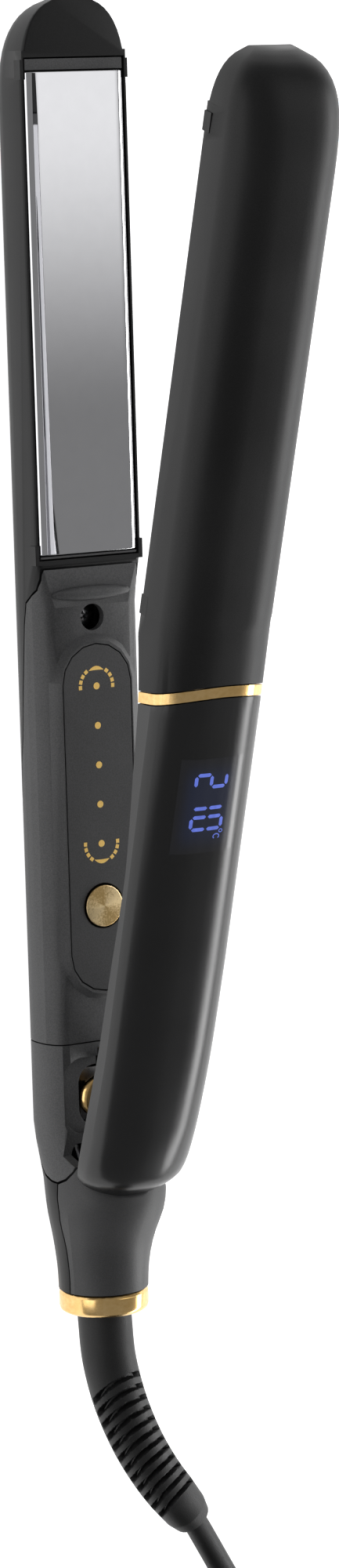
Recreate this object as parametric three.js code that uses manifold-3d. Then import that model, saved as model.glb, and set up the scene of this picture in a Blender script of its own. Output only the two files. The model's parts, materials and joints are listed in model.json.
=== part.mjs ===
// Hair straightener with two hinged arms, lying open on its back. Millimetres, +Z up, +Y towards the tip, +X right.
// Each arm is drawn as (x, y, n): n is the depth below the plane where the two heating plates meet.
import * as THREE from "three";
import { mergeVertices } from "three/addons/utils/BufferGeometryUtils.js";
import Module from "manifold-3d";

// ---- driving dimensions ----
const LENGTH = 292.2; // tip to the end of the neck ring
const DEPTH = 17; // one arm, from the plate plane to its back
const HALF = 13.4; // half the arm's width
const WALL = 1.8; // shell wall
const GAP = 0.3; // seam between two pieces
const PLATE = { w: 25, y0: 171.6, y1: 276.4, t: 1.7 };
const WELL = { y0: 170.45, y1: 279.5 }; // bed that the plate and its carrier float in
const TIP_ROUND = { plan: 21, back: 28 }; // lengths over which the tip rounds off, in outline and in depth
const HINGE = { y: 26.5, n: 2, r: 1.5, open: 16.9 }; // hinge axis, pin radius, stored opening angle
const NECK = { r: 10.15, n: 4.7 }; // radius and axis depth of the neck at the ring
const RING = { len: 4.9, bore: 7.3 };
const BUTTON = { y: 92.9, r: 4.7 };
const PANEL = { y0: 73.9, y1: 151.4, half: 8.6, top: -0.9, t: 1.2 };
const LOCK = { y: 49.3, half: 6.2, long: 5.1 }; // sliding knob
const SCREW = { lower: 157.3, upper: 161 };
const CORD_R = 2.9;
const PLUG = { x: 38, y: 15, z: 31.2 }; // lying on the hank
const HANK = { x: 23.9, y: -150, run: 84, rIn: 14.7, rOut: 26.7, h: 24 }; // long loops, two across and four layers high

const COLOURS = {
  matte: 0x2b2b2d, textured: 0x3a3a3c, gloss: 0x161618, gold: 0xd9ad5a, plate: 0xa8a8aa,
  steel: 0x8f9296, pcb: 0x1f5a36, alu: 0xb9bcc0, ceramic: 0xe6e2d6, silicone: 0xb5482e,
  black: 0x151515, brass: 0xb9985a, amber: 0x8a5a1e,
};

const wasm = await Module();
wasm.setup();
const root = new THREE.Group();
root.name = "hair_straightener";
root.position.y = -LENGTH / 2;

// ---- helpers ----
function manifold(geometry) {
  const g = new THREE.BufferGeometry().setAttribute("position", geometry.getAttribute("position").clone());
  if (geometry.index) g.setIndex(geometry.index);
  const merged = mergeVertices(g, 1e-4);
  const build = (flip) => {
    const tri = new Uint32Array(merged.index.array);
    if (flip) for (let i = 0; i < tri.length; i += 3) [tri[i + 1], tri[i + 2]] = [tri[i + 2], tri[i + 1]];
    return new wasm.Manifold(
      new wasm.Mesh({ numProp: 3, vertProperties: new Float32Array(merged.attributes.position.array), triVerts: tri }),
    );
  };
  const made = build(false);
  return made.volume() < 0 ? build(true) : made;
}
const LOWER = new THREE.Matrix4().set(1, 0, 0, 0, 0, 1, 0, 0, 0, 0, -1, DEPTH, 0, 0, 0, 1);
const pinZ = DEPTH - HINGE.n;
const UPPER = new THREE.Matrix4()
  .makeTranslation(0, HINGE.y, pinZ)
  .multiply(new THREE.Matrix4().makeRotationX(THREE.MathUtils.degToRad(HINGE.open)))
  .multiply(new THREE.Matrix4().makeTranslation(0, -HINGE.y, -pinZ))
  .multiply(new THREE.Matrix4().makeTranslation(0, 0, DEPTH));
const WORLD = new THREE.Matrix4();

function add(name, colour, solid, metal = 0) {
  const m = solid.getMesh();
  const g = new THREE.BufferGeometry();
  const xyz = new Float32Array(m.numVert * 3);
  for (let i = 0; i < m.numVert; i++) xyz.set(m.vertProperties.subarray(i * m.numProp, i * m.numProp + 3), i * 3);
  g.setAttribute("position", new THREE.BufferAttribute(xyz, 3));
  g.setIndex(new THREE.BufferAttribute(new Uint32Array(m.triVerts), 1));
  const mesh = new THREE.Mesh(
    g, new THREE.MeshStandardMaterial({ color: COLOURS[colour], metalness: metal, roughness: 0.5 }),
  );
  mesh.name = name;
  root.add(mesh);
}
const at = (geometry, place) => manifold(geometry.clone().applyMatrix4(place));
const box = (x0, x1, y0, y1, n0, n1) =>
  new THREE.BoxGeometry(x1 - x0, y1 - y0, n1 - n0).translate((x0 + x1) / 2, (y0 + y1) / 2, (n0 + n1) / 2);
// round bar along one axis ("x", "y" or "z") between a and b
function bar(axis, r, a, b, u = 0, v = 0, seg = 20) {
  const g = new THREE.CylinderGeometry(r, r, b - a, seg);
  if (axis === "x") return g.rotateZ(-Math.PI / 2).translate((a + b) / 2, u, v);
  if (axis === "y") return g.translate(u, (a + b) / 2, v);
  return g.rotateX(Math.PI / 2).translate(u, v, (a + b) / 2);
}
// a (y, n) outline carried across the arm from -half to +half
function across(points, half) {
  const s = new THREE.Shape(points.map(([y, n]) => new THREE.Vector2(y, n)));
  const g = new THREE.ExtrudeGeometry(s, { depth: 2 * half, bevelEnabled: false });
  const basis = new THREE.Matrix4().makeBasis(
    new THREE.Vector3(0, 1, 0), new THREE.Vector3(0, 0, 1), new THREE.Vector3(1, 0, 0),
  );
  return g.applyMatrix4(basis.setPosition(-half, 0, 0));
}
// long rounded outline in (x, y), carried from n0 to n1, narrowing by taper at the n0 end
function racetrack(half, y0, y1, n0, n1, taper = 0, seg = 8) {
  const ring = (h, a, b, n) => {
    const pts = [];
    for (let i = 0; i <= seg; i++) {
      const t = (Math.PI * i) / seg;
      pts.push([h * Math.cos(t), b - h + h * Math.sin(t), n]);
    }
    for (let i = 0; i <= seg; i++) {
      const t = Math.PI + (Math.PI * i) / seg;
      pts.push([h * Math.cos(t), a + h + h * Math.sin(t), n]);
    }
    return pts;
  };
  return loft([ring(half - taper, y0 + taper, y1 - taper, n0), ring(half, y0, y1, n1)]);
}
function loft(rings) {
  const n = rings[0].length, pos = rings.flat(2), idx = [];
  rings.slice(1).forEach((_, i) => {
    for (let j = 0; j < n; j++) {
      const a = i * n + j, b = i * n + ((j + 1) % n), c = a + n, d = b + n;
      idx.push(a, b, d, a, d, c);
    }
  });
  [[0, true], [(rings.length - 1) * n, false]].forEach(([base, first]) => {
    const ring = rings[first ? 0 : rings.length - 1];
    const mid = [0, 1, 2].map((k) => ring.reduce((s, p) => s + p[k], 0) / n);
    const m = pos.length / 3;
    pos.push(...mid);
    for (let j = 0; j < n; j++) {
      const a = base + j, b = base + ((j + 1) % n);
      first ? idx.push(m, b, a) : idx.push(m, a, b);
    }
  });
  const g = new THREE.BufferGeometry();
  g.setAttribute("position", new THREE.BufferAttribute(new Float32Array(pos), 3));
  return g.setIndex(idx);
}
// straight-line table lookup: rows of [y, value]
function lookup(table, y) {
  if (y <= table[0][0]) return table[0][1];
  for (let i = 1; i < table.length; i++)
    if (y <= table[i][0]) {
      const [[a, va], [b, vb]] = [table[i - 1], table[i]];
      return va + ((vb - va) * (y - a)) / (b - a);
    }
  return table.at(-1)[1];
}
// the same table read as one smooth line through its rows
function smooth(table, y) {
  const last = table.length - 1;
  if (y <= table[0][0]) return table[0][1];
  if (y >= table[last][0]) return table[last][1];
  let i = 1;
  while (table[i][0] < y) i++;
  const slope = (j) => {
    if (j === 0 || j === last) return 0;
    const a = (table[j][1] - table[j - 1][1]) / (table[j][0] - table[j - 1][0]);
    const b = (table[j + 1][1] - table[j][1]) / (table[j + 1][0] - table[j][0]);
    return a * b <= 0 ? 0 : (2 * a * b) / (a + b);
  };
  const [[y0, v0], [y1, v1]] = [table[i - 1], table[i]], d = y1 - y0, t = (y - y0) / d;
  return (
    v0 * (1 + 2 * t) * (1 - t) ** 2 + d * slope(i - 1) * t * (1 - t) ** 2 +
    v1 * t * t * (3 - 2 * t) + d * slope(i) * t * t * (t - 1)
  );
}
// swept bar along hand-chosen points, with a radius at each point
function sweep(points, radii, sides, steps) {
  const curve = new THREE.CatmullRomCurve3(points.map((p) => new THREE.Vector3(...p)));
  const frames = curve.computeFrenetFrames(steps, false), rings = [];
  for (let i = 0; i <= steps; i++) {
    const u = i / steps, p = curve.getPointAt(u), r = lookup(radii, u);
    rings.push(
      [...Array(sides)].map((_, k) => {
        const t = (2 * Math.PI * k) / sides;
        const q = p.clone()
          .addScaledVector(frames.normals[i], r * Math.cos(t))
          .addScaledVector(frames.binormals[i], r * Math.sin(t));
        return [q.x, q.y, q.z];
      }),
    );
  }
  return loft(rings);
}

// ---- arm section: inner face, rounded inner corner, side wall, domed back with a flat strip ----
function armRing(y, inset, spec) {
  const { half, face, flat, corner, side, back, strip } = spec(y);
  const w = half - inset, nf = face + inset, D = back - inset, pts = [];
  const wf = Math.min(flat, w - 0.3), nc = Math.max(corner, nf + 0.3), nd = Math.max(side, nc + 0.3);
  pts.push([wf, nf]);
  for (let k = 1; k <= 4; k++) {
    const t = (Math.PI * k) / 8;
    pts.push([wf + (w - wf) * Math.sin(t), nf + (nc - nf) * (1 - Math.cos(t))]);
  }
  for (let k = 0; k <= 8; k++) {
    const t = (Math.PI * k) / 16;
    pts.push([strip + (w - strip) * Math.cos(t), nd + (D - nd) * Math.sin(t)]);
  }
  const right = pts.map(([x, n]) => [x, y, n]);
  return [...right, ...right.slice().reverse().map(([x, yy, n]) => [-x, yy, n])];
}
function tip(y, blunt) {
  const part = (b, p) => (1 - Math.max(0, (y - (LENGTH - b)) / b) ** p) ** (1 / p);
  return [part(TIP_ROUND.plan, blunt), part(TIP_ROUND.back, 2.8)];
}
// the arm from the handle to the tip
function bodySpec(y, blunt = 2.7) {
  const [k, kd] = tip(Math.min(y, LENGTH - 0.3), blunt);
  const plates = lookup([[160, 0], [172, 1]], y);
  const half = HALF * k;
  return {
    half, face: 0.6,
    flat: half * lookup([[0, 0.7], [1, 0.955]], plates),
    corner: lookup([[0, 6.5], [1, 1.6]], plates) * kd + 0.6 * (1 - kd),
    side: 0.6 + 8.2 * kd, back: 0.6 + (DEPTH - 0.6) * kd, strip: 3.2 * k,
  };
}
const TIP_Y = [265, 269, 272.5, 275.5, 278.5, 281, 283.2, 285.2, 287, 288.5, 289.8, 290.8, 291.5, LENGTH];

// ---- lower arm: neck, handle and plate bed in one body, then divided at its seams ----
const neckR = [[5, 10.15], [9, 10.3], [13, 10.75], [17, 11.5], [21, 12.55], [24.5, 13.35], [29, 13.7], [44, 13.7]];
const neckN = [[5, 4.7], [9, 4.6], [13, 4.4], [17, 3.9], [21, 3.1], [24.5, 2.5], [29, 2.4], [44, 2.7]];
function lowerRing(y, inset) {
  const body = armRing(y, inset, (v) => ({ ...bodySpec(v), face: 0.3 + (v > 160 ? 0.3 : 0) }));
  const mix = THREE.MathUtils.smoothstep(y, 27, 44);
  if (mix >= 1) return body;
  const r = smooth(neckR, y) - inset, c = smooth(neckN, y), m = body.length / 2;
  return body.map(([x, , n], i) => {
    const k = i < m ? i : 2 * m - 1 - i, t = (Math.PI * (k + 0.5)) / m, s = i < m ? 1 : -1;
    return [(1 - mix) * s * r * Math.sin(t) + mix * x, y, (1 - mix) * (c - r * Math.cos(t)) + mix * n];
  });
}
const neckY = [10.5, 13, 15.5, 18, 20.5, 23, 25.5, 28, 31, 34, 37, 40, 44];
const lowerY = [5.2, 8, ...neckY, 62, 160, 163, 166, 169, 172, ...TIP_Y];
const lowerOuter = at(loft(lowerY.map((y) => lowerRing(y, 0))), LOWER);
const insideY = [8.2, ...neckY, 160, 172, 265, 272, 277, 281, 284.5, 287.2];
const lowerInside = at(loft(insideY.map((y) => lowerRing(y, WALL))), LOWER);

// raised lips round the plate's two ends, and the pockets for the carrier's ends
const lipBox = (half, y0, y1) => box(-half, half, y0, y1, 0.6, 3.2);
const wellCut = (place) => [
  at(box(-11.4, 11.4, WELL.y0, WELL.y1, -3, 8.9), place), // bed under the plate
  at(box(-15, 15, PLATE.y0 + 2.2, PLATE.y1 - 1.6, -3, 0.9), place), // lowers the side walls beside the plate
  at(box(-12.75, 12.75, WELL.y0, WELL.y1, -3, 2.3), place),
];
const lips = (place) => [at(lipBox(13.7, 169.5, PLATE.y0 + 2.2), place),
  at(lipBox(13.55, PLATE.y1 - 1.6, 279), place), at(lipBox(13.1, 278, 280.9), place)];
const unite = (list) => list.reduce((a, b) => a.add(b));
const less = (a, list) => list.reduce((s, b) => s.subtract(b), a);

// behind the upper arm's heel the neck is cut back along a slope, down to the inner face
const heelCut = across([[28.4, -16], [28.4, -11.1], [33.5, -5.2], [36, -1.5], [37.4, 0.3], [46, 0.3], [46, -16]], 20);
let lower = less(unite([lowerOuter, ...lips(LOWER)]), [lowerInside, ...wellCut(LOWER), at(heelCut, LOWER)]);

// seams, as (y, n) outlines; the lower shell lies below the line and the covers above it
const neckSeam = [[0, 2.9], [5.6, 2.7], [12.6, 2.3], [16.4, 1.9], [20.2, 1.5], [25, 0.7], [31.2, 0.9]];
const lobe = [[31.3, 1.2], [31.5, 3.2], [32.4, 6.2], [34.6, 9.5], [38.6, 11.9], [44, 13]];
const sideSeam = [[62.35, 13], [112, 12.8], [120, 11.4], [131, 9.6], [145, 8.2], [156, 7.1]];
const sSeam = [[161, 6.1], [162.8, 3.9], [164, 2.3], [166.3, 1.2], [168.6, 0.75], [169.3, 0.2], [169.3, -4]];
const shift = (pts, dy, dn) => pts.map(([y, n]) => [y + dy, n + dn]);
const below = across(
  [...shift(neckSeam, 0, GAP / 2), ...shift(lobe.slice(1), -GAP / 2, GAP / 2), ...shift(sideSeam, GAP / 2, GAP / 2),
    ...shift(sSeam, GAP / 2, GAP / 2), [300, -4], [300, 30], [0, 30]], 20);
const handleRegion = across(
  [[62.5, -4], [62.5, 12.8], ...shift(sideSeam.slice(1), -GAP / 2, -GAP / 2), ...shift(sSeam, -GAP / 2, -GAP / 2)], 20);
const hingeRegion = across(
  [[32.6, -1.1], ...shift(lobe, GAP, -GAP / 2), [62.2, 12.8], [62.2, -4], [36.9, -4], [36.9, -3.1], [34.3, -2.4]], 20);
const neckRegion = across(
  [[0, -16], ...shift(neckSeam.slice(0, -1), 0, -GAP / 2), [31.1, 0.7], [32.2, -1.5], [34, -2.8], [36.5, -3.5], [36.5, -16]], 20);

// -- lower shell with the two pillars that carry the hinge pin
const pillars = [-1, 1].map((s) =>
  at(box(s > 0 ? 5.6 : -8.2, s > 0 ? 8.2 : -5.6, HINGE.y - 3.2, HINGE.y + 3.2, -1.2, 15.6), LOWER).intersect(lowerOuter));
const pinBore = at(bar("x", HINGE.r + 0.03, -9.2, 9.2, HINGE.y, HINGE.n, 24), LOWER);
const swivelBore = at(bar("y", 7.1, 0, 9, 0, NECK.n, 24), LOWER);
const screwPost = (y) => at(bar("z", 2.6, 8.2, 16, 0, y, 16), LOWER);
add("lower_shell", "matte",
  less(unite([lower.intersect(at(below, LOWER)), ...pillars, screwPost(SCREW.lower)]),
    [pinBore, swivelBore, at(bar("z", 0.9, 7, 13.6, 0, SCREW.lower, 12), LOWER)]));

// -- handle cover: raised touch field, finger ridge, screw hole
const field = at(racetrack(11.3, 70.8, 154.6, PANEL.top, 1.05, 2.2), LOWER);
const ridge = at(new THREE.SphereGeometry(1, 16, 8).scale(10.2, 1.7, 1.1).translate(0, 162.7, 0.35), LOWER);
const pocket = at(racetrack(PANEL.half + 0.25, PANEL.y0 - 0.25, PANEL.y1 + 0.25, -3, PANEL.top + PANEL.t + 0.2), LOWER);
const handleBlank = unite([lower.intersect(at(handleRegion, LOWER)), field, ridge]);
add("lower_handle_cover", "textured",
  less(handleBlank, [
    pocket, lowerInside.intersect(at(box(-14, 14, 60, 170, 2.35, 20), LOWER)),
    at(bar("z", BUTTON.r + 0.4, -3, 4, 0, BUTTON.y, 28), LOWER),
    at(bar("z", 2.95, -3, 4, 0, SCREW.lower, 28), LOWER),
  ]));
add("touch_panel", "textured",
  less(at(racetrack(PANEL.half, PANEL.y0, PANEL.y1, PANEL.top, PANEL.top + PANEL.t), LOWER),
    [at(bar("z", BUTTON.r + 0.4, -3, 4, 0, BUTTON.y, 28), LOWER)]));
add("power_button", "gold", at(bar("z", BUTTON.r, -1.3, 2.1, 0, BUTTON.y, 28), LOWER), 1);
add("power_switch", "black", at(box(-3, 3, BUTTON.y - 3, BUTTON.y + 3, 2.9, 4.9), LOWER));
add("touch_board", "pcb", at(box(-7, 7, 77, 151, 5.2, 6.2), LOWER));
add("main_board", "pcb", at(box(-9, 9, 66, 140, 9.6, 10.8), LOWER));
add("lower_cover_screw", "steel",
  unite([at(bar("z", 2.4, 5.4, 7.6, 0, SCREW.lower, 16), LOWER), at(bar("z", 0.8, 7.5, 13, 0, SCREW.lower, 12), LOWER)]), 1);

// -- hinge cover with the lock's recess and slot, and the slot for the upper arm's knuckle
const knuckleSlot = at(across([[HINGE.y - 6, 9.5], [HINGE.y - 6, -3.6], [HINGE.y + 1.5, -4.1], [HINGE.y + 4.5, -7.4],
  [HINGE.y + 8, -16], [40.5, -16], [40.5, 9.5]], 5.5), LOWER);
const rounded = (half, y0, y1, n0, n1, r) => {
  const s = new THREE.Shape().moveTo(-half, y0 + r);
  s.lineTo(-half, y1 - r).absarc(-half + r, y1 - r, r, Math.PI, Math.PI / 2, true);
  s.lineTo(half - r, y1).absarc(half - r, y1 - r, r, Math.PI / 2, 0, true);
  s.lineTo(half, y0 + r).absarc(half - r, y0 + r, r, 0, -Math.PI / 2, true);
  s.lineTo(-half + r, y0).absarc(-half + r, y0 + r, r, -Math.PI / 2, -Math.PI, true);
  return at(new THREE.ExtrudeGeometry(s, { depth: n1 - n0, bevelEnabled: false, curveSegments: 5 }).translate(0, 0, n0), LOWER);
};
const lockRecess = rounded(10.9, 41.9, 59.1, -3, 1.2, 4.6);
const lockSlot = rounded(6.9, 43.3, 57.1, -3, 5, 4.2);
const catchHole = at(box(-2.2, 2.2, 56, 60.9, -3, 5), LOWER);
add("hinge_cover", "textured", less(lower.intersect(at(hingeRegion, LOWER)), [knuckleSlot, lockRecess, lockSlot, catchHole, pinBore]));
add("neck_cover", "matte",
  less(lower.intersect(at(neckRegion, LOWER)), [knuckleSlot, swivelBore, at(box(-8.5, 8.5, HINGE.y - 3.5, HINGE.y + 3.5, -1.5, 5), LOWER)]));
add("neck_ring", "gold",
  less(at(new THREE.LatheGeometry(
    [[0, 0], [9.2, 0], [NECK.r - 0.2, 0.6], [NECK.r, 1.4], [NECK.r, 4.2], [9.6, RING.len], [0, RING.len]]
      .map(([x, y]) => new THREE.Vector2(x, y)), 40).translate(0, 0, NECK.n), LOWER),
    [at(bar("y", RING.bore, -1, 6, 0, NECK.n, 24), LOWER)]), 1);

// -- lock: sliding knob with its latch plate
const knob = new THREE.SphereGeometry(1, 20, 10).scale(LOCK.half, LOCK.long, 2.4).translate(0, LOCK.y, 2.3);
add("lock_slider", "gold",
  unite([at(knob, LOWER).subtract(at(box(-7, 7, 40, 62, 2.6, 8), LOWER)), at(box(-2.2, 2.2, 46.3, 52.3, 2.2, 6.4), LOWER)]), 1);
add("lock_latch", "steel", at(box(-3.4, 3.4, 43.4, 55.2, 6.8, 7.8), LOWER), 1);

// -- wiring of the lower arm
add("contact_block", "black", at(bar("y", 6.2, 16.4, 19.2, 0, NECK.n, 20), LOWER));
add("supply_lead", "black", at(sweep([[3.6, 19.6, 8.6], [3.6, 24, 9.6], [3.6, 34, 10.6], [3.6, 50, 11], [3.6, 65.5, 11.9]],
  [[0, 1.1], [1, 1.1]], 8, 12), LOWER));
add("lower_heater_lead", "black", at(sweep([[3, 140.6, 10.3], [6, 150, 10.8], [7, 160, 10.4], [7, 168, 9.8]],
  [[0, 0.9], [1, 0.9]], 8, 8), LOWER));

// -- hinge pin and opening spring
add("hinge_pin", "steel", at(bar("x", HINGE.r, -8.1, 8.1, HINGE.y, HINGE.n, 20), LOWER), 1);
const coilPts = [[-1.7, 36.5, 12.2], [-1.7, 32.5, 9.4]];
for (let k = 0; k <= 24; k++) {
  const t = -0.6 - (2 * Math.PI * 3 * k) / 24;
  coilPts.push([-1.7 + (3.4 * k) / 24, HINGE.y + 3.0 * Math.cos(t), HINGE.n - 3.0 * Math.sin(t)]);
}
coilPts.push([1.7, 21.8, 7.4], [1.7, 20.6, 8.6]);
add("opening_spring", "steel", at(sweep(coilPts, [[0, 0.45], [1, 0.45]], 5, 56), LOWER), 1);

// ---- heating plates: the same stack in both arms ----
function plateStack(prefix, place) {
  const half = PLATE.w / 2, edge = [[0, 0], [9.2, 0], [10.6, 0.12], [11.7, 0.45], [12.3, 0.95], [half, 1.4], [half, PLATE.t]];
  const outline = [...edge, ...edge.slice().reverse().map(([x, n]) => [-x, n])].filter(([x], i) => i === 0 || x !== 0);
  const s = new THREE.Shape(outline.map(([x, n]) => new THREE.Vector2(x, n)));
  const g = new THREE.ExtrudeGeometry(s, { depth: PLATE.y1 - PLATE.y0, bevelEnabled: false });
  const basis = new THREE.Matrix4().makeBasis(
    new THREE.Vector3(1, 0, 0), new THREE.Vector3(0, 0, 1), new THREE.Vector3(0, 1, 0)).setPosition(0, PLATE.y0, 0);
  add(prefix + "_plate", "plate", at(g.applyMatrix4(basis), place), 1);
  add(prefix + "_heat_spreader", "alu", at(box(-9.5, 9.5, 175, 275, 2.0, 4.4), place), 1);
  add(prefix + "_heater", "ceramic", at(box(-6, 6, 190, 260, 4.7, 5.9), place));
  add(prefix + "_sensor", "amber", at(bar("y", 0.8, 178, 186, 0, 5.5, 10), place));
  add(prefix + "_plate_carrier", "textured", unite([
    at(box(-10.9, 10.9, WELL.y0 + GAP, WELL.y1 - GAP, 6.3, 8.3), place),
    at(box(-10.9, 10.9, WELL.y0 + GAP, PLATE.y0 - GAP, 1.0, 6.5), place), at(box(-10.9, 10.9, PLATE.y1 + GAP, WELL.y1 - GAP, 1.0, 6.5), place),
    at(box(-12.3, 12.3, WELL.y0 + GAP, PLATE.y0 - GAP, 0.8, 1.7), place), at(box(-12.3, 12.3, PLATE.y1 + GAP, WELL.y1 - GAP, 0.8, 1.7), place),
  ]));
  [["heel", 182], ["tip", 268]].forEach(([end, y]) =>
    add(prefix + "_float_pad_" + end, "silicone", at(bar("z", 4, 9.4, 14.9, 0, y, 16), place)));
}
plateStack("lower", LOWER);
plateStack("upper", UPPER);

// ---- upper arm ----
const rim = [[30, 3.2], [36, 3.6], [40.5, 4.2], [48.5, 5.1], [58, 6.1], [72, 7.2], [84, 7.6], [92, 7.9], [101, 8.3], [111, 8.5], [122, 7.7], [136, 6.2], [148, 5], [153, 4.2], [162, 2], [168, 0.6]];
const crown = [[30, 7.4], [33, 9.9], [35, 12], [37.5, 13.7], [42, 14.8], [52, 16.3], [72, 17.2], [92, 17.3], [150, 17.1], [170, 17]];
const upperHalf = [[30, 8.6], [33, 10.6], [35, 11.8], [37.5, 12.5], [42, 12.9], [52, 13.1], [72, 13.3], [92, HALF], [300, HALF]];
const upperSide = [[30, 0.6], [33, 1.8], [35, 3.8], [37.5, 6.1], [42, 7.6], [52, 9], [72, 10.3], [92, 10.4], [150, 9.6], [170, 8.8]];
function upperSpec(y) {
  const s = bodySpec(y, 3.3);
  if (y > 170) return s;
  const half = smooth(upperHalf, y);
  return { ...s, half, flat: half - 0.8, corner: 1.4, side: smooth(upperSide, y), back: smooth(crown, y), strip: lookup([[33, 0.6], [42, 2]], y) };
}
const upperY = [31, 32.2, 33.4, 34.6, 36, 37.5, 39.5, 42, 45, 48.5, 52, 57, 62, 67, 72, 82, 92, 150, 170, 172, ...TIP_Y];
const heelY = [31, 33, 35, 37.5, 42, 52, 62, 72, 92, 150, 170, 172, 265, 272, 277, 281, 284.5, 287.2];
const upperOuter = at(loft(upperY.map((y) => armRing(y, 0, upperSpec))), UPPER);
const upperInside = at(loft(heelY.map((y) => armRing(y, WALL, upperSpec))), UPPER);
const rimLine = [...Array(47)].map((_, i) => [30 + 3 * i, smooth(rim, 30 + 3 * i)]);
const underRim = across([[20, -6], ...rimLine, [168, -6]], 20); // removes what lies inside the rim's curve
const heel = across([[20, 20], [28.3, 20], [32.5, 10], [35.6, 3], [38.6, -4], [20, -4]], 20); // sloped heel
const mouth = box(-11.1, 11.1, 37.5, 167, -5, 8.5);
const upper = less(unite([upperOuter, ...lips(UPPER)]),
  [upperInside, ...wellCut(UPPER), at(underRim, UPPER), at(heel, UPPER), at(mouth, UPPER)]);

// the band: a curved slice across the arm that leans towards the tip
const BAND = { y: 151.55, t: 2.7, lean: 0.3 };
const sCurve = (x) => BAND.y - 1.2 * (x / HALF) ** 2;
function bandSlab(lo, hi) {
  const xs = [...Array(11)].map((_, i) => -15 + 3 * i);
  const pts = [...xs.map((x) => [x, lo === null ? 0 : sCurve(x) + lo]), ...xs.slice().reverse().map((x) => [x, hi === null ? 320 : sCurve(x) + hi])];
  const s = new THREE.Shape(pts.map(([x, y]) => new THREE.Vector2(x, y)));
  const leaning = new THREE.Matrix4().set(1, 0, 0, 0, 0, 1, BAND.lean, 0, 0, 0, 1, 0, 0, 0, 0, 1);
  return at(new THREE.ExtrudeGeometry(s, { depth: 40, bevelEnabled: false }).translate(0, 0, -12).applyMatrix4(leaning), UPPER);
}
add("upper_shell", "matte",
  upper.intersect(bandSlab(BAND.t / 2 + GAP / 2, null)).add(at(bar("z", 2.6, 9.2, 16, 0, SCREW.upper, 16), UPPER))
    .subtract(at(bar("z", 0.9, 8, 14.2, 0, SCREW.upper, 12), UPPER)));
add("gold_band", "gold", upper.intersect(bandSlab(-BAND.t / 2 + GAP / 2, BAND.t / 2 - GAP / 2)), 1);
add("display_cover", "gloss", upper.intersect(bandSlab(null, -BAND.t / 2 - GAP / 2)));

// -- inner cover of the upper handle: a boat-shaped tray with the hinge knuckle
function trayRing(y, inset) {
  const half = lookup(upperHalf, y) - WALL - 0.35 - inset, top = lookup(rim, y) + 2.6, pts = [];
  const n0 = 3.3 + inset, wf = Math.min(8.3, half - 0.4);
  pts.push([wf, n0]);
  for (let k = 1; k <= 3; k++) {
    const t = (Math.PI * k) / 6;
    pts.push([wf + (half - wf) * Math.sin(t), n0 + (Math.max(top - 1, n0 + 1) - n0) * (1 - Math.cos(t))]);
  }
  pts.push([half, Math.max(top, n0 + 1.5) + (inset ? 3 : 0)]);
  const right = pts.map(([x, n]) => [x, y, n]);
  return [...right, ...right.slice().reverse().map(([x, yy, n]) => [-x, yy, n])];
}
const trayY = [40.5, 52, 72, 92, 111, 130, 149, 165];
const tray = at(loft(trayY.map((y) => trayRing(y, 0))), UPPER)
  .subtract(at(loft([43, 52, 72, 92, 111, 130, 149, 163].map((y) => trayRing(y, 1.6))), UPPER));
const barrel = less(
  unite([at(bar("x", 4.6, -5, 5, HINGE.y, -HINGE.n, 24), UPPER), at(across([[HINGE.y - 2.5, -5.5], [HINGE.y + 3, -6.2], [46, 3.4], [46, 5.4], [38, 5.4], [HINGE.y - 2, 1.2]], 5), UPPER)]),
  [at(bar("x", HINGE.r + 0.05, -6, 6, HINGE.y, -HINGE.n, 24), UPPER), at(box(-2.4, 2.4, 16, 35, -12, 9), UPPER)]);
const screwHole = at(bar("z", 3, 2, 6, 0, SCREW.upper, 20), UPPER);
add("upper_handle_cover", "textured", less(tray.add(barrel), [screwHole, at(box(-2, 2, 58.1, 60.1, 2, 6), UPPER)]));
add("lock_catch", "steel", unite([
  at(box(-3.3, 3.3, 54.3, 62.8, 5.3, 6.4), UPPER), at(box(-1.6, 1.6, 58.5, 59.7, -8.9, 5.5), UPPER),
  at(box(-1.6, 1.6, 56.4, 59.7, -8.9, -8.1), UPPER)]), 1);
add("upper_cover_screw", "steel",
  unite([at(bar("z", 2.4, 6.6, 8.6, 0, SCREW.upper, 16), UPPER), at(bar("z", 0.8, 8.5, 13.8, 0, SCREW.upper, 12), UPPER)]), 1);
add("upper_supply_lead", "black", at(sweep([[6, 46, 7], [6, 60, 9], [6, 80, 10], [6, 105, 10.4]],
  [[0, 1.1], [1, 1.1]], 8, 10), UPPER));
add("upper_heater_lead", "black", at(sweep([[3, 146.6, 10.4], [6, 154, 10.8], [7, 161, 10.4], [7, 168, 9.8]],
  [[0, 0.9], [1, 0.9]], 8, 8), UPPER));
add("display_module", "black", at(box(-5, 5, 120, 139, 11.4, 14.6), UPPER));
add("display_board", "pcb", at(box(-8, 8, 106, 146, 9.8, 11.0), UPPER));

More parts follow.
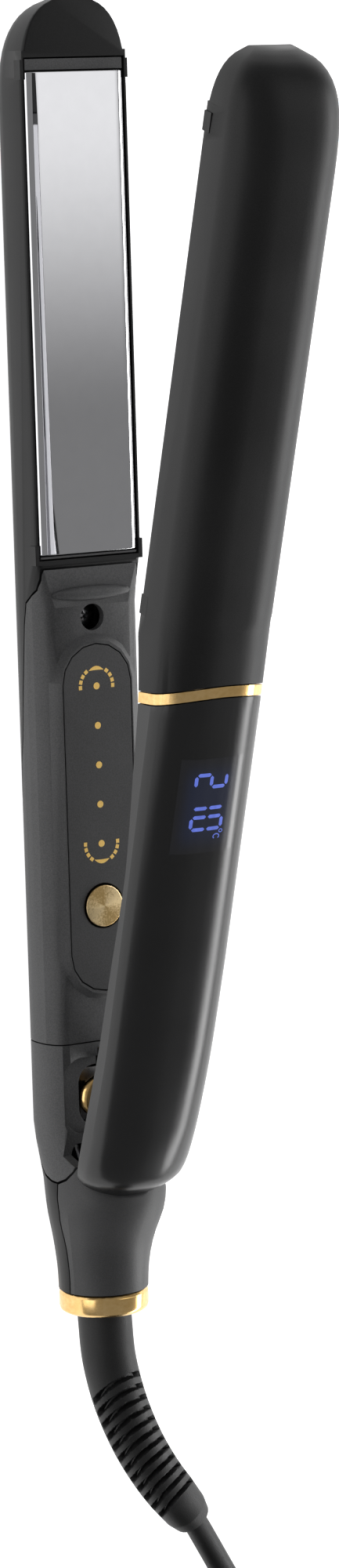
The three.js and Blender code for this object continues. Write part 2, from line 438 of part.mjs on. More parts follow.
// ---- swivel, strain relief, cord, hank and plug ----
const swivelProfile = [[0, 1.6], [6.7, 1.6], [6.7, 8.6], [8.0, 8.6], [8.0, 11.2], [5.2, 11.2], [5.2, 16], [0, 16]];
add("swivel_collar", "black",
  at(new THREE.LatheGeometry(swivelProfile.map(([x, y]) => new THREE.Vector2(x, y)), 20).translate(0, 0, NECK.n), LOWER));
const axisZ = DEPTH - NECK.n;
const reliefPath = [[0, 1.2, axisZ], [0.1, -3, 12.3], [1, -12.2, 12.1], [3.9, -22.7, 11.6], [8.6, -33.1, 10.7],
  [14.2, -42, 9.6], [19.7, -49, 8.6], [24.2, -54.4, 7.8]];
add("strain_relief", "black",
  at(sweep(reliefPath, [[0, 6.15], [0.35, 6.1], [0.6, 5.9], [0.85, 5.7], [0.95, 5.3], [1, 4.5]], 14, 18), WORLD));
const cordPath = [[24.6, -54.9, 7.7], [26.6, -57.8, 7.0], [30.2, -63.4, 5.8], [34.6, -70.4, 4.5], [39.6, -78, 3.7], [42.4, -83.2, 3.6]];
add("power_cord", "black", at(sweep(cordPath, [[0, CORD_R], [1, CORD_R]], 12, 16), WORLD));
const tailPath = [[44.9, -124.5, 27.4], [42.75, -130, 29.3], [40, -137, 30.9], [38.3, -143, 31.2], [38, -147.6, 31.2]];
add("power_cord_tail", "black", at(sweep(tailPath, [[0, CORD_R], [1, CORD_R]], 12, 4), WORLD));
const loop = (r) => [...Array(34)].map((_, k) => {
  const t = (Math.PI * (k % 17)) / 16, s = k < 17 ? 1 : -1;
  return new THREE.Vector2(s * r * Math.cos(t), s * (HANK.run / 2 + r * Math.sin(t)));
});
const hankShape = new THREE.Shape(loop(HANK.rOut));
hankShape.holes.push(new THREE.Path(loop(HANK.rIn).reverse()));
add("cord_hank", "black",
  at(new THREE.ExtrudeGeometry(hankShape, { depth: HANK.h - 0.1, bevelEnabled: false }).translate(HANK.x, HANK.y, 0.1), WORLD));

// -- two-pin mains plug lying on the hank
const plugProfile = [[-163, 3.5, 3.5], [-172, 4.6, 4.6], [-175, 7.5, 5.6], [-181, 13, 6.5], [-190, 16.6, 6.85],
  [-203, 17.3, 6.85], [-206, 16.4, 6.1]];
add("plug_body", "black", at(loft(plugProfile.map(([y, a, b]) => [...Array(20)].map((_, k) => {
  const t = (2 * Math.PI * k) / 20, c = Math.cos(t), q = Math.sin(t);
  return [PLUG.x + a * Math.sign(c) * Math.abs(c) ** 0.7, y + PLUG.y, PLUG.z + b * Math.sign(q) * Math.abs(q) ** 0.7];
}))), WORLD));
[["left", -1], ["right", 1]].forEach(([side, s]) =>
  add("plug_pin_" + side, "brass", at(bar("y", 2, -225.3 + PLUG.y, -206.3 + PLUG.y, PLUG.x + 9.3 * s, PLUG.z, 14), WORLD), 1));

export default root;
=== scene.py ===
import json
import math

import bmesh
import bpy
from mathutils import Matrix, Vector
from mathutils.bvhtree import BVHTree


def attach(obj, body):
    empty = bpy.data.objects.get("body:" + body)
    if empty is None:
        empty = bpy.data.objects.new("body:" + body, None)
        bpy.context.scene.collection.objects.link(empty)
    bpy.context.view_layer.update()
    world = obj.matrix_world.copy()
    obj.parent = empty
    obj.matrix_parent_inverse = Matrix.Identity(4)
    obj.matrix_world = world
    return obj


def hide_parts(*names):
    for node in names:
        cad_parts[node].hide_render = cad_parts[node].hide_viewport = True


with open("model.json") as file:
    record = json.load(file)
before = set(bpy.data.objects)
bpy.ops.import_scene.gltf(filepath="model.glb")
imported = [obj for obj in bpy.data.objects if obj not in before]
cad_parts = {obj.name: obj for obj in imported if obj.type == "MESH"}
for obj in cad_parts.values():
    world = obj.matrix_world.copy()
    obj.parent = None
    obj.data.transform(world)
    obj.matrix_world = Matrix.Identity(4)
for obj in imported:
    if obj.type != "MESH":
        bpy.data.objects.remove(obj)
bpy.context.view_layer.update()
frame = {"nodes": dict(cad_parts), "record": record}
record, NODES, scene = frame["record"], frame["nodes"], bpy.context.scene
BODY = {n: b for b, ns in record["behaviour"]["bodies"].items() for n in ns}
SLOT = {s["node"]: s["material_slot"] for s in record["subparts"]}
LENGTH, DEPTH = 292.2, 17.0
PIN_Y, PIN_N, OPEN = 26.5, 2.0, math.radians(16.9)


def row(x, y, z):
    """Millimetres, y from the ring end, to the row frame."""
    return Vector((x, y - LENGTH / 2, z)) / 1000


def low(x, y, n):
    """A place on the lower arm, n down from the plates' plane."""
    return row(x, y, DEPTH - n)


def up(x, y, n):
    """The same on the upper arm, n outward from its own plane, arms open."""
    dy, dz, c, s = y - PIN_Y, n + PIN_N, math.cos(OPEN), math.sin(OPEN)
    return row(x, PIN_Y + dy * c - dz * s, DEPTH - PIN_N + dy * s + dz * c)


def ease(t):
    t = min(1.0, max(0.0, t))
    return t * t * (3 - 2 * t)


# ---- camera
cam = bpy.data.objects.new("camera", bpy.data.cameras.new("camera"))
cam.data.lens, cam.data.sensor_width = 108.357, 36.0
cam.data.clip_start, cam.data.clip_end = 0.05, 60.0
cam.location = (-0.52644, 0.12217, 0.90818)
cam.rotation_euler = [math.radians(a) for a in (-7.135, -31.674, -1.984)]
scene.collection.objects.link(cam)
scene.camera = cam
scene.view_settings.view_transform = "Standard"


# ---- materials
def surface(name, dark, light, rough, metal=0.0, scale=3000.0, depth=0.0, cloud=0.0, cloud_scale=60.0, anis=0.0,
            spread=0.04, spec=0.5):
    """Principled with a fine grain and slow clouds, from noise in object space. depth is the grain's, in metres."""
    mat = bpy.data.materials.new(name)
    mat.use_nodes = True
    nt = mat.node_tree
    bsdf = nt.nodes["Principled BSDF"]
    add, link = nt.nodes.new, nt.links.new
    where = add("ShaderNodeTexCoord")
    fine = add("ShaderNodeTexNoise")
    fine.inputs["Scale"].default_value = scale
    fine.inputs["Detail"].default_value = 3.0
    link(where.outputs["Object"], fine.inputs["Vector"])
    slow = add("ShaderNodeTexNoise")
    slow.inputs["Scale"].default_value = cloud_scale
    link(where.outputs["Object"], slow.inputs["Vector"])
    mixed = add("ShaderNodeMapRange")
    mixed.inputs["From Min"].default_value, mixed.inputs["From Max"].default_value = 0.3, 0.7
    mixed.inputs["To Min"].default_value, mixed.inputs["To Max"].default_value = -cloud, cloud
    link(slow.outputs["Fac"], mixed.inputs["Value"])
    total = add("ShaderNodeMath")
    total.operation = "ADD"
    link(fine.outputs["Fac"], total.inputs[0])
    link(mixed.outputs["Result"], total.inputs[1])
    ramp = add("ShaderNodeValToRGB")
    ramp.color_ramp.elements[0].position, ramp.color_ramp.elements[1].position = 0.3, 0.7
    ramp.color_ramp.elements[0].color = (*dark, 1)
    ramp.color_ramp.elements[1].color = (*light, 1)
    link(total.outputs["Value"], ramp.inputs["Fac"])
    link(ramp.outputs["Color"], bsdf.inputs["Base Color"])
    gloss = add("ShaderNodeMapRange")
    gloss.inputs["From Min"].default_value, gloss.inputs["From Max"].default_value = 0.3, 0.7
    gloss.inputs["To Min"].default_value = max(0.0, rough - spread)
    gloss.inputs["To Max"].default_value = min(1.0, rough + spread)
    link(slow.outputs["Fac"], gloss.inputs["Value"])
    link(gloss.outputs["Result"], bsdf.inputs["Roughness"])
    bsdf.inputs["Metallic"].default_value = metal
    bsdf.inputs["Specular IOR Level"].default_value = spec
    if anis:
        bsdf.inputs["Anisotropic"].default_value = anis
    if depth:
        bump = add("ShaderNodeBump")
        bump.inputs["Strength"].default_value = 0.5
        bump.inputs["Distance"].default_value = depth
        link(fine.outputs["Fac"], bump.inputs["Height"])
        link(bump.outputs["Normal"], bsdf.inputs["Normal"])
    return mat


def grey(v):
    return (v, v, v * 1.03)


MATTE = surface("soft_black", grey(0.006), grey(0.010), 0.42, spec=0.24, scale=3500, depth=0.00002, cloud=0.15,
                cloud_scale=40)
GRAIN = surface("spark_grey", grey(0.032), grey(0.062), 0.52, scale=3200, depth=0.00006, cloud=0.12, cloud_scale=60)
PANEL = surface("panel_grey", grey(0.028), grey(0.046), 0.55, scale=3200, depth=0.00004, cloud=0.1, cloud_scale=60)
NECK = surface("neck_black", grey(0.028), grey(0.042), 0.5, scale=3500, depth=0.00003, cloud=0.12, cloud_scale=80)
GLOSS = surface("polished_black", grey(0.006), grey(0.009), 0.24, spec=0.42, scale=2500, cloud=0.1,
                cloud_scale=50, spread=0.02)
GOLD = surface("gold", (0.80, 0.52, 0.20), (0.90, 0.62, 0.28), 0.2, metal=1, scale=900, cloud=0.2, cloud_scale=90)
# radially brushed gold with real anisotropy; its colour also carries a painted fan-shaped highlight, added further down
GOLD_BRUSHED_PAINTED_FAN = surface("gold_brushed_painted_fan", (0.55, 0.37, 0.15), (1.0, 0.78, 0.44), 0.32, metal=1, scale=2600, cloud=0.1,
                  anis=0.85)
turned = GOLD_BRUSHED_PAINTED_FAN.node_tree.nodes.new("ShaderNodeTangent")
turned.direction_type, turned.axis = "RADIAL", "Z"
GOLD_BRUSHED_PAINTED_FAN.node_tree.links.new(turned.outputs["Tangent"], GOLD_BRUSHED_PAINTED_FAN.node_tree.nodes["Principled BSDF"].inputs["Tangent"])


def paint_fan_highlight(mat, lobes=2, phase=0.6, reach=0.2):
    """Painted highlight: the fan-shaped highlights that a turned face shows, painted in as colour that swings slowly
    round the piece's middle.
    """
    nt = mat.node_tree
    add, link = nt.nodes.new, nt.links.new
    where, move, turn = add("ShaderNodeTexCoord"), add("ShaderNodeMapping"), add("ShaderNodeTexGradient")
    turn.gradient_type = "RADIAL"
    move.inputs["Location"].default_value = (-0.5, -0.5, 0)
    link(where.outputs["Generated"], move.inputs["Vector"])
    link(move.outputs["Vector"], turn.inputs["Vector"])
    scaled, wave, fit, total = (add("ShaderNodeMath") for _ in range(4))
    for node, how in ((scaled, "MULTIPLY_ADD"), (wave, "SINE"), (fit, "MULTIPLY"), (total, "ADD")):
        node.operation = how
    link(turn.outputs["Fac"], scaled.inputs[0])
    scaled.inputs[1].default_value, scaled.inputs[2].default_value = 2 * math.pi * lobes, phase
    link(scaled.outputs["Value"], wave.inputs[0])
    link(wave.outputs["Value"], fit.inputs[0])
    fit.inputs[1].default_value = reach
    ramp = next(n for n in nt.nodes if n.type == "VALTORGB")
    link(ramp.inputs["Fac"].links[0].from_socket, total.inputs[0])
    link(fit.outputs["Value"], total.inputs[1])
    link(total.outputs["Value"], ramp.inputs["Fac"])


# painted highlight: fan-shaped bright and dark lobes painted into the button's gold colour
paint_fan_highlight(GOLD_BRUSHED_PAINTED_FAN)
MIRROR = surface("titanium", grey(0.635), grey(0.65), 0.03, metal=1, scale=300, cloud=0.1, cloud_scale=30,
                 spread=0.004)
STEEL = surface("steel", grey(0.42), grey(0.56), 0.3, metal=1, scale=1500, cloud=0.2)
BLACKED = surface("black_screw", grey(0.25), grey(0.4), 0.3, metal=1, scale=2500, depth=0.00004)
BOARD = surface("solder_mask", (0.02, 0.12, 0.05), (0.04, 0.2, 0.09), 0.35, scale=1200, cloud=0.2)
ALU = surface("aluminium", grey(0.58), grey(0.72), 0.4, metal=1, scale=1800, cloud=0.15)
CERAMIC = surface("ceramic", (0.74, 0.70, 0.6), (0.84, 0.8, 0.72), 0.6, scale=900, cloud=0.2)
SILICONE = surface("silicone", (0.36, 0.06, 0.025), (0.5, 0.1, 0.04), 0.5, scale=900, cloud=0.2)
PLASTIC = surface("plain_black", grey(0.012), grey(0.02), 0.45, scale=2600, cloud=0.15)
RUBBER = surface("rubber", grey(0.004), grey(0.010), 0.5, spec=0.35, scale=4200, depth=0.00008, cloud=0.2,
                 cloud_scale=90)
BRASS = surface("pin_brass", (0.55, 0.45, 0.26), (0.68, 0.56, 0.34), 0.25, metal=1, scale=1400, cloud=0.2)
BEAD = surface("sensor_bead", (0.26, 0.1, 0.02), (0.36, 0.16, 0.04), 0.2, scale=900, cloud=0.2)
MARK = surface("gold_print", (0.92, 0.58, 0.13), (1.0, 0.66, 0.18), 0.5, scale=3000, cloud=0.1)
LOOK = {"matte_shell": MATTE, "textured_cover": GRAIN, "gloss_cover": GLOSS, "gold_trim": GOLD, "titanium_plate": MIRROR,
        "steel": STEEL, "board": BOARD, "aluminium": ALU, "ceramic": CERAMIC, "silicone": SILICONE,
        "black_plastic": PLASTIC, "black_rubber": RUBBER, "plug_brass": BRASS, "sensor_glass": BEAD}
OWN = {"touch_panel": PANEL, "neck_cover": NECK, "power_button": GOLD_BRUSHED_PAINTED_FAN,
       "lower_cover_screw": BLACKED, "upper_cover_screw": BLACKED}


def lit(name, colour, power):
    """A lit segment: a plain emission broken by a faint grain."""
    mat = bpy.data.materials.new(name)
    mat.use_nodes = True
    nt = mat.node_tree
    bsdf = nt.nodes["Principled BSDF"]
    where, noise, ramp = (nt.nodes.new(k) for k in ("ShaderNodeTexCoord", "ShaderNodeTexNoise", "ShaderNodeValToRGB"))
    noise.inputs["Scale"].default_value = 900.0
    nt.links.new(where.outputs["Object"], noise.inputs["Vector"])
    nt.links.new(noise.outputs["Fac"], ramp.inputs["Fac"])
    ramp.color_ramp.elements[0].position, ramp.color_ramp.elements[1].position = 0.3, 0.7
    ramp.color_ramp.elements[0].color = (*[c * 0.8 for c in colour], 1)
    ramp.color_ramp.elements[1].color = (*colour, 1)
    nt.links.new(ramp.outputs["Color"], bsdf.inputs["Emission Color"])
    bsdf.inputs["Emission Strength"].default_value = power
    bsdf.inputs["Base Color"].default_value = (0.01, 0.01, 0.02, 1)
    bsdf.inputs["Roughness"].default_value = 0.3
    return mat


DIGIT = lit("display_segment", (0.12, 0.18, 0.70), 1.0)


# ---- pieces
def link_piece(name, me, mat, body, nodes=()):
    obj = bpy.data.objects.new(name, me)
    scene.collection.objects.link(obj)
    me.materials.clear()
    me.materials.append(mat)
    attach(obj, body)
    if nodes:
        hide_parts(*nodes)
    return obj


def world_mesh(obj):
    me = obj.data.copy()
    me.transform(obj.matrix_world)
    return me


EDGE_ANGLE = math.radians(34)  # a sharper turn than this is an edge
HEEL_HALF = 0.01342  # the upper shell's heel lips end flush with its sides


def polish(node, mat, edge):
    """A copy of the CAD node, its edges softened by a bevel of edge mm and its curves shaded smooth."""
    me = world_mesh(NODES[node])
    bm = bmesh.new()
    bm.from_mesh(me)
    bmesh.ops.remove_doubles(bm, verts=bm.verts, dist=2e-6)
    if node == "upper_shell":
        heel = up(0, 200, 0).y
        for v in bm.verts:
            if v.co.y < heel:
                v.co.x = max(-HEEL_HALF, min(HEEL_HALF, v.co.x))
        bmesh.ops.dissolve_degenerate(bm, edges=bm.edges, dist=1e-7)
    bmesh.ops.dissolve_limit(bm, angle_limit=0.004, verts=bm.verts, edges=bm.edges)
    bmesh.ops.recalc_face_normals(bm, faces=bm.faces)
    for f in bm.faces:
        f.smooth = True
    bm.to_mesh(me)
    bm.free()
    me.set_sharp_from_angle(angle=EDGE_ANGLE)
    obj = link_piece("v_" + node, me, mat, BODY[node], [node])
    mod = obj.modifiers.new("edge", "BEVEL")
    mod.width, mod.segments, mod.limit_method = edge / 1000, 2, "ANGLE"
    mod.angle_limit, mod.harden_normals, mod.use_clamp_overlap = EDGE_ANGLE, True, True
    return obj


# width of each visible node's edge rounding, in mm
SEEN = {"lower_shell": 0.15, "upper_shell": 0.15, "lower_handle_cover": 0.12, "upper_handle_cover": 0.12,
        "hinge_cover": 0.12, "neck_cover": 0.12, "neck_ring": 0.15, "touch_panel": 0.12, "display_cover": 0.12,
        "gold_band": 0.15, "power_button": 0.25, "lock_slider": 0.15, "lower_plate": 0.4, "upper_plate": 0.4,
        "lower_plate_carrier": 0.15, "upper_plate_carrier": 0.15, "swivel_collar": 0.1, "plug_body": 0.3,
        "plug_pin_left": 0.3, "plug_pin_right": 0.3}
made = {n: polish(n, OWN.get(n, LOOK[SLOT[n]]), w) for n, w in SEEN.items()}


def tree_of(node):
    me = world_mesh(NODES[node])
    bm = bmesh.new()
    bm.from_mesh(me)
    tree = BVHTree.FromBMesh(bm)
    bm.free()
    return tree


# ---- cord: out of the relief, down to the table, six long turns two across and four high, and a tail to the plug
HX, HY, RUN, OUTER, INNER = 23.9, -150.0, 84.0, 23.6, 17.8
LAYERS = (3.6, 9.4, 15.2, 21.0)


def hank_at(t):
    """The winding's centreline: t counts quarters of a turn from the east run's north end.
    Three turns fill two layers: in to the inner lane, up a layer, and out to the outer lane again."""
    pair, within = divmod(t, 12)
    lower, upper = LAYERS[2 * int(pair)], LAYERS[2 * int(pair) + 1]
    r = OUTER + (INNER - OUTER) * (ease((within - 3.2) / 0.7) - ease((within - 9.05) / 0.9))
    z = lower + (upper - lower) * ease(within - 6)
    if pair and within < 1:
        z = LAYERS[1] + (lower - LAYERS[1]) * ease(within)
    quarter, f = int(t) % 4, t % 1
    if quarter == 0:
        x, y = r, RUN / 2 - RUN * f
    elif quarter == 1:
        x, y = r * math.cos(math.pi * f), -RUN / 2 - r * math.sin(math.pi * f)
    elif quarter == 2:
        x, y = -r, -RUN / 2 + RUN * f
    else:
        x, y = -r * math.cos(math.pi * f), RUN / 2 + r * math.sin(math.pi * f)
    return HX + x, HY + y, z


centre = [(24.6, -54.9, 7.7), (26.6, -57.8, 7.0), (30.2, -63.4, 5.8), (34.6, -70.4, 4.5), (39.6, -78, 3.7),
          (42.4, -83.2, 3.6), (45.2, -89, 3.6), (47.1, -98, 3.6)]
for quarter in range(24):
    n = 14 if quarter % 2 else 8  # points on a fold, and on a straight run
    centre += [hank_at(quarter + i / n) for i in range(n)]
for i in range(13):  # off the last turn, up and across to the plug
    y = -108 - 3.3 * i
    centre.append((47.5 - 9.5 * ease((-112 - y) / 35), y, 21.0 + 10.2 * ease((-104 - y) / 36)))
centre = [row(*p) for p in centre]
curve = bpy.data.curves.new("cord", "CURVE")
curve.dimensions, curve.bevel_depth, curve.bevel_resolution, curve.use_fill_caps = "3D", 0.0029, 5, True
line = curve.splines.new("POLY")
line.points.add(len(centre) - 1)
for p, q in zip(line.points, centre):
    p.co = (*q, 1)
cord = bpy.data.objects.new("cord", curve)
scene.collection.objects.link(cord)
curve.materials.append(RUBBER)
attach(cord, "cord_swivel")
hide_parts("power_cord", "power_cord_tail", "cord_hank")


# ---- strain relief: a ribbed rubber sleeve with slanted slots through its wall
SLEEVE = [Vector(p) for p in ((0, 1.2, 12.3), (0.1, -3, 12.3), (1, -12.2, 12.1), (3.9, -22.7, 11.6), (8.6, -33.1, 10.7),
                              (14.2, -42, 9.6), (19.7, -49, 8.6), (24.2, -54.4, 7.8))]
GIRTH = [(0, 6.15), (0.35, 6.1), (0.6, 5.9), (0.85, 5.7), (0.95, 5.3), (1, 4.5)]


def catmull(points, t):
    n = len(points) - 1
    i = min(int(t * n), n - 1)
    f = t * n - i
    p = [points[max(0, min(n, i + k))] for k in (-1, 0, 1, 2)]
    return 0.5 * (2 * p[1] + (p[2] - p[0]) * f + (2 * p[0] - 5 * p[1] + 4 * p[2] - p[3]) * f * f
                  + (3 * p[1] - p[0] - 3 * p[2] + p[3]) * f ** 3)


def table(rows, u):
    for (a, va), (b, vb) in zip(rows, rows[1:]):
        if u <= b:
            return va + (vb - va) * (u - a) / (b - a)
    return rows[-1][1]


fine_line = [catmull(SLEEVE, i / 600) for i in range(601)]
run = [0.0]
for a, b in zip(fine_line, fine_line[1:]):
    run.append(run[-1] + (b - a).length)
RINGS, SIDES = ((330, 84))
PITCH, FIRST, SLOTS = 3.1, 19.5, 12  # of the slots, in mm along the sleeve
LEAN, CUT = 4.6, 1.6  # how far a slot leans along the sleeve, and its depth
bm = bmesh.new()
rings, j = [], 0
for i in range(RINGS + 1):
    s = run[-1] * i / RINGS
    while j < 599 and run[j + 1] < s:
        j += 1
    f = (s - run[j]) / max(1e-9, run[j + 1] - run[j])
    at = fine_line[j].lerp(fine_line[j + 1], f)
    along = (fine_line[min(600, j + 3)] - fine_line[max(0, j - 3)]).normalized()
    side = along.cross(Vector((0, 0, 1))).normalized()
    top = side.cross(along).normalized()
    ring = []
    for k in range(SIDES):
        a = 2 * math.pi * k / SIDES
        q = s + LEAN * math.sin(a) - FIRST
        radius = table(GIRTH, s / run[-1])
        if 0 < q < SLOTS * PITCH:
            cell = (q / PITCH) % 1.0
            cut = min(1.0, max(0.0, (0.21 - abs(cell - 0.5)) / 0.045))
            web = min(1.0, max(0.0, (abs(((math.degrees(a) - 75) % 180) - 90) - 9) / 4))
            radius -= CUT * cut * web
        ring.append(bm.verts.new(row(*(at + (side * math.cos(a) + top * math.sin(a)) * radius))))
    rings.append(ring)
for a, b in zip(rings, rings[1:]):
    for k in range(SIDES):
        bm.faces.new((a[k], a[(k + 1) % SIDES], b[(k + 1) % SIDES], b[k])).smooth = True
bm.faces.new(rings[0])
bm.faces.new(rings[-1][::-1])
bmesh.ops.recalc_face_normals(bm, faces=bm.faces)
me = bpy.data.meshes.new("relief")
bm.to_mesh(me)
bm.free()
me.set_sharp_from_angle(angle=math.radians(40))
relief = link_piece("v_strain_relief", me, RUBBER, "cord_swivel", ["strain_relief"])
# a tie round the runs on the west side of the hank: two outlines, 0.5 mm apart, at each end of its width
bm = bmesh.new()
bands = []
for d in (0.0, 0.5):
    for y in (-5.0, 5.0):
        ring = []
        for cx, cz, a0 in ((-17.1, 20.3, 0), (-23.6, 20.3, 90), (-23.6, 3.6, 180), (-17.1, 3.6, 270)):
            for k in range(7):
                a = math.radians(a0 + 15 * k)
                ring.append(bm.verts.new(row(HX + cx + (3.0 + d) * math.cos(a), HY + y, cz + (3.0 + d) * math.sin(a))))
        bands.append(ring)
for p, q in ((0, 1), (1, 3), (3, 2), (2, 0)):
    for k in range(28):
        bm.faces.new((bands[p][k], bands[p][(k + 1) % 28], bands[q][(k + 1) % 28], bands[q][k])).smooth = True
bmesh.ops.recalc_face_normals(bm, faces=bm.faces)
me = bpy.data.meshes.new("cord_tie")
bm.to_mesh(me)
bm.free()
me.set_sharp_from_angle(angle=math.radians(40))
tie = link_piece("v_cord_tie", me, RUBBER, "cord_swivel")

# ---- the table and the studio
floor_mesh = bpy.data.meshes.new("floor")
bm = bmesh.new()
bmesh.ops.create_grid(bm, x_segments=4, y_segments=4, size=30.0)
bm.to_mesh(floor_mesh)
bm.free()
floor = bpy.data.objects.new("floor", floor_mesh)
floor.location = (0, 0, -0.0004)
scene.collection.objects.link(floor)
pale = bpy.data.materials.new("pale_floor")
pale.use_nodes = True
shade = pale.node_tree.nodes["Principled BSDF"]
shade.inputs["Base Color"].default_value = (0.8, 0.8, 0.8, 1)
shade.inputs["Roughness"].default_value = 0.9
shade.inputs["Emission Color"].default_value = (1, 1, 1, 1)
shade.inputs["Emission Strength"].default_value = 0.9
floor_mesh.materials.append(pale)

world = bpy.data.worlds.new("studio")
scene.world = world
world.use_nodes = True
nt = world.node_tree
back = nt.nodes["Background"]
where, parts = nt.nodes.new("ShaderNodeTexCoord"), nt.nodes.new("ShaderNodeSeparateXYZ")
nt.links.new(where.outputs["Generated"], parts.inputs["Vector"])


def stretch(source, limits, to=(0.0, 1.0), soft=True):
    """A Map Range from limits to to."""
    node = nt.nodes.new("ShaderNodeMapRange")
    node.interpolation_type = "SMOOTHSTEP" if soft else "LINEAR"
    for name, value in zip(("From Min", "From Max", "To Min", "To Max"), (*limits, *to)):
        node.inputs[name].default_value = value
    nt.links.new(source, node.inputs["Value"])
    return node.outputs["Result"]


def product(a, b):
    node = nt.nodes.new("ShaderNodeMath")
    node.operation = "MULTIPLY"
    nt.links.new(a, node.inputs[0])
    nt.links.new(b, node.inputs[1])
    return node.outputs["Value"]


# a bright ceiling on the +X side that fades towards -Y, which is what the lower plate mirrors
ceiling = stretch(parts.outputs["Z"], (0.45, 0.75))
along = stretch(parts.outputs["Y"], (-0.066, 0.002))
beside = stretch(parts.outputs["X"], (0.1, 0.4))
glow = stretch(product(ceiling, product(along, beside)), (0.0, 1.0), (0.27, 1.2), soft=False)
nt.links.new(glow, back.inputs["Strength"])
back.inputs["Color"].default_value = (1, 1, 1, 1)


def softbox(name, at, aim, size, power):
    data = bpy.data.lights.new(name, "AREA")
    data.shape, data.size, data.size_y, data.energy = "RECTANGLE", size[0], size[1], power
    obj = bpy.data.objects.new(name, data)
    obj.location = at
    obj.rotation_euler = (Vector(aim) - Vector(at)).to_track_quat("-Z", "Y").to_euler()
    scene.collection.objects.link(obj)
    return obj


right_strip = softbox("right_strip", (1.05, -0.55, 0.33), (0, -0.55, 0.03), (1.9, 0.26), 13)
left_fill = softbox("left_fill", (-1.3, 0.1, 0.5), (0, 0, 0.03), (1.6, 0.8), 6)


# ---- printed marks on the touch panel
def patch(name, outlines, mat, place, body, lift=0.03):
    """Flat outlines (x, y in mm) laid on the surface that place() gives."""
    bm = bmesh.new()
    for loop in outlines:
        verts = [bm.verts.new(place(x, y, lift)) for x, y in loop]
        bm.faces.new(verts)
    bmesh.ops.triangulate(bm, faces=bm.faces)
    me = bpy.data.meshes.new(name)
    bm.to_mesh(me)
    bm.free()
    return link_piece(name, me, mat, body)


def disc(x, y, r, n=28):
    return [(x + r * math.cos(2 * math.pi * i / n), y + r * math.sin(2 * math.pi * i / n)) for i in range(n)]


def on_panel(x, y, h):
    return low(x, y, -0.9 - h)


MX = -0.15  # the marks' middle line
marks = [disc(MX, y, 0.78) for y in (142.1, 133.3, 124.5, 115.7, 106.9)]
for y, s in ((142.1, 1), (106.9, -1)):
    top = [(MX + 1.95 * t, y + s * (3.45 + 1.0 * (1 - t * t))) for t in [i / 8 - 1 for i in range(17)]]
    under = [(MX + 1.95 * t, y + s * (3.45 + 0.1 * (1 - t * t))) for t in [1 - i / 8 for i in range(1, 16)]]
    marks.append(top + under)
    for a in (51, 33, 15, -2):
        for side in (1, -1):
            c, q = math.cos(math.radians(a)), math.sin(math.radians(a))
            px, py = MX + side * 4.15 * c, y + s * 4.15 * q
            loop = []
            for dr, dt in ((-0.42, -0.46), (0.42, -0.46), (0.42, 0.46), (-0.42, 0.46)):
                loop.append((px + side * (dr * c - dt * q), py + s * (dr * q + dt * c)))
            marks.append(loop)
marks_piece = patch("touch_marks", marks, MARK, on_panel, "lower_arm")


# ---- the lit digits behind the glossy cover
cover = tree_of("display_cover")
DOWN = up(0, 100, 0) - up(0, 100, 30)
DOWN.normalize()


def on_cover(x, y, h):
    hit = cover.ray_cast(up(x, y, 40), DOWN)
    return (hit[0] if hit[0] else up(x, y, 17)) - DOWN * h / 1000


CELL, HIGH, THICK = 2.85, 7.5, 0.84
GAPS = 0.22


def segment(x0, y0, x1, y1):
    """A pointed bar from end to end, cut into short lengths so it can lie on the curve."""
    d = Vector((x1 - x0, y1 - y0))
    n, u = d.length, d.normalized()
    w = Vector((-u.y, u.x)) * THICK / 2
    square = GAPS + THICK / 2
    stops = [GAPS] + [square + (n - 2 * square) * i / 6 for i in range(7)] + [n - GAPS]
    left, right_side = [], []
    for i, s in enumerate(stops):
        k = 0 if i in (0, len(stops) - 1) else 1
        p = Vector((x0, y0)) + u * s
        left.append(p + w * k)
        right_side.append(p - w * k)
    quads = []
    for i in range(len(stops) - 1):
        loop = [right_side[i], right_side[i + 1], left[i + 1], left[i]]
        out = []
        for p in loop:
            if not out or (p - out[-1]).length > 1e-6:
                out.append(p)
        if (out[0] - out[-1]).length < 1e-6:
            out.pop()
        quads.append([(p.x, p.y) for p in out])
    return quads


SHOWN = {"2": "abged", "1": "bc", "0": "abcdef"}
loops = []
for value, y in (("2", 136.3), ("1", 131.4), ("0", 126.5)):
    a, b, m = y + CELL / 2, y - CELL / 2, -0.4
    ends = {"a": (m + HIGH / 2, a, m + HIGH / 2, b), "g": (m, a, m, b), "d": (m - HIGH / 2, a, m - HIGH / 2, b),
            "f": (m, a, m + HIGH / 2, a), "e": (m - HIGH / 2, a, m, a),
            "b": (m, b, m + HIGH / 2, b), "c": (m - HIGH / 2, b, m, b)}
    for s in SHOWN[value]:
        loops += segment(*ends[s])


def arc(cx, cy, rx, ry, w, start, stop, n=16):
    quads = []
    for i in range(n):
        a, b = (math.radians(start + (stop - start) * k / n) for k in (i, i + 1))
        quads.append([(cx + (rx + e) * math.cos(t), cy + (ry + e) * math.sin(t))
                      for t, e in ((a, -w), (b, -w), (b, w), (a, w))])
    return quads


loops += arc(3.6, 124.3, 0.42, 0.36, 0.1, 0, 360)
loops += arc(2.6, 123.1, 0.75, 0.55, 0.12, -50, 230)
digits = patch("display_digits", loops, DIGIT, on_cover, "upper_arm", lift=0.04)

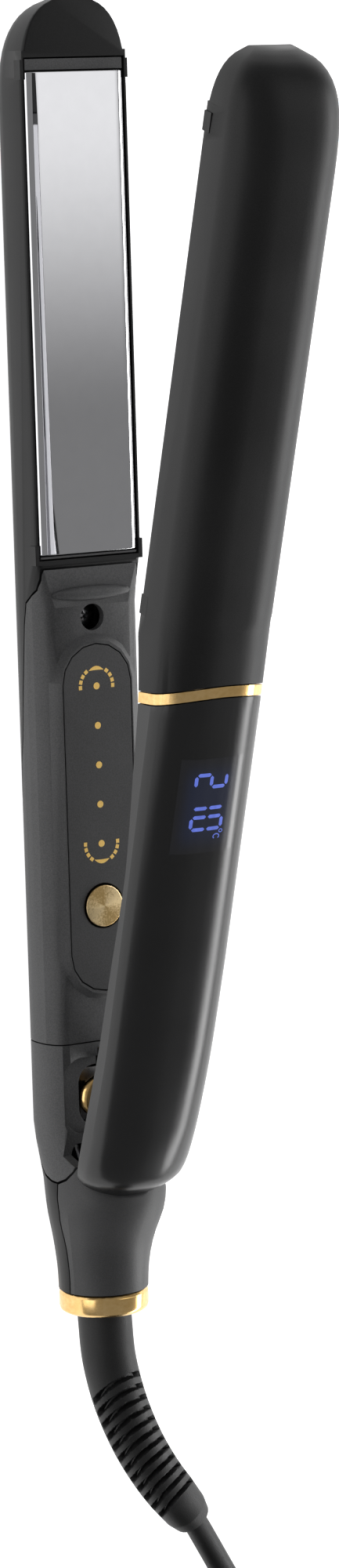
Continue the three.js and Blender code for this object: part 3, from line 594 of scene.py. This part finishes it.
bloom = bpy.data.materials.new("display_bloom")
bloom.use_nodes = True
nt = bloom.node_tree
b = nt.nodes["Principled BSDF"]
src, ramp, noise, cloud, mix = (nt.nodes.new(k) for k in (
    "ShaderNodeAttribute", "ShaderNodeValToRGB", "ShaderNodeTexNoise", "ShaderNodeTexCoord", "ShaderNodeMath"))
src.attribute_name = "bloom"
noise.inputs["Scale"].default_value = 400.0
nt.links.new(cloud.outputs["Object"], noise.inputs["Vector"])
mix.operation = "MULTIPLY_ADD"
nt.links.new(noise.outputs["Fac"], mix.inputs[0])
mix.inputs[1].default_value = 0.06
nt.links.new(src.outputs["Fac"], mix.inputs[2])
nt.links.new(mix.outputs["Value"], ramp.inputs["Fac"])
ramp.color_ramp.elements[0].color = (0, 0, 0, 1)
ramp.color_ramp.elements[1].color = (0.001, 0.004, 0.017, 1)
nt.links.new(ramp.outputs["Color"], b.inputs["Emission Color"])
b.inputs["Emission Strength"].default_value = 1.0
b.inputs["Base Color"].default_value = (0.012, 0.012, 0.014, 1)
b.inputs["Roughness"].default_value = 0.22
bm = bmesh.new()
NX, NY = 28, 40
grid = []
for i in range(NX + 1):
    for k in range(NY + 1):
        x, y = -8 + 15.4 * i / NX, 119.5 + 22 * k / NY
        grid.append((bm.verts.new(on_cover(x, y, 0.015)),
                     ease((1 - abs(2 * i / NX - 1)) * 2) * ease((1 - abs(2 * k / NY - 1)) * 2)))
for i in range(NX):
    for k in range(NY):
        here, beyond = i * (NY + 1) + k, (i + 1) * (NY + 1) + k
        q = [grid[c][0] for c in (here, beyond, beyond + 1, here + 1)]
        bm.faces.new(q).smooth = True
me = bpy.data.meshes.new("display_bloom")
bm.to_mesh(me)
bm.free()
level = me.attributes.new("bloom", "FLOAT", "POINT")
for item, (_, v) in zip(level.data, grid):
    item.value = v
bloom_piece = link_piece("display_bloom", me, bloom, "upper_arm")


# ---- cross-recess screw heads down in their holes
def screw_head(name, place, r, node, spin):
    """A domed head with a cross recess, standing on the CAD screw and facing out of its hole."""
    bm = bmesh.new()
    steps, recess, rims = 56, 0.9, []
    for f in (0.0, 0.12, 0.24, 0.36, 0.46, 0.5, 0.54, 0.58, 0.72, 0.86, 0.95, 1.0, 1.0):
        ring = []
        for i in range(steps):
            a = 2 * math.pi * i / steps
            across = min(abs(math.cos(a - spin)), abs(math.sin(a - spin))) * f * r
            h = 0.95 + 0.45 * (1 - f * f) - (recess if across < 0.3 and f < 0.53 else 0.0)
            if len(rims) == 12:
                h = 0.02
            ring.append(bm.verts.new(place(r * f * math.cos(a), r * f * math.sin(a), h)))
        rims.append(ring)
    for p, q in zip(rims, rims[1:]):
        for i in range(steps):
            bm.faces.new((p[i], p[(i + 1) % steps], q[(i + 1) % steps], q[i]))
    bmesh.ops.remove_doubles(bm, verts=bm.verts, dist=1e-6)
    bmesh.ops.dissolve_degenerate(bm, edges=bm.edges, dist=1e-7)
    bmesh.ops.recalc_face_normals(bm, faces=bm.faces)
    me = bpy.data.meshes.new(name)
    bm.to_mesh(me)
    bm.free()
    return link_piece(name, me, BLACKED, BODY[node])


screw_head("lower_screw_head", lambda x, y, h: low(x, 157.3 + y, 5.4 - h), 2.3, "lower_cover_screw", 0.5)
screw_head("upper_screw_head", lambda x, y, h: up(x, 161 + y, 6.6 - h), 2.3, "upper_cover_screw", 0.9)

# ---- everything carried over as it is
for n, obj in NODES.items():
    if n not in SEEN and n not in ("strain_relief", "power_cord", "power_cord_tail", "cord_hank"):
        obj.data.materials.clear()
        obj.data.materials.append(OWN.get(n, LOOK[SLOT[n]]))
